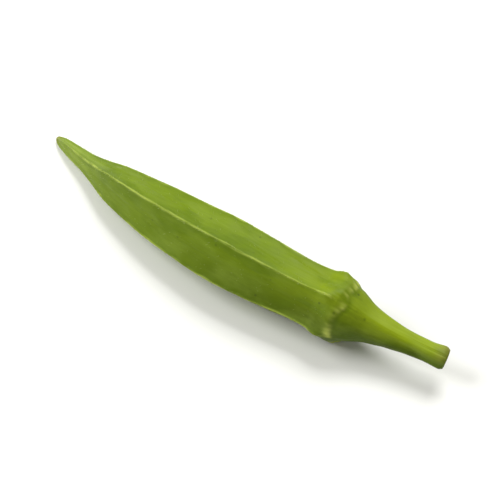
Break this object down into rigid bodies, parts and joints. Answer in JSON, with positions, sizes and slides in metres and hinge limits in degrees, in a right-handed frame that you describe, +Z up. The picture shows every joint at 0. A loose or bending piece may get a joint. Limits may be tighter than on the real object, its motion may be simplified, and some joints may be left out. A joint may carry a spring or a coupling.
{
  "type": "okra pod",
  "caption": "Fresh okra pod, ribbed and gently bowed, with a tapered tip, calyx scar and cut stalk, lying on its side.",
  "frame": {"origin": "on the surface it lies on, below the middle of the pod's overall length and width", "axes": "+X from the tip towards the cut stalk, +Z up from the surface, -Y the side its belly bows towards"},
  "size_m": [0.1088, 0.0176, 0.0147],
  "materials": {
    "okra_skin": "satin"
  },
  "bodies": {
    "root": {"okra_pod": "okra_skin"}
  },
  "joints": []
}
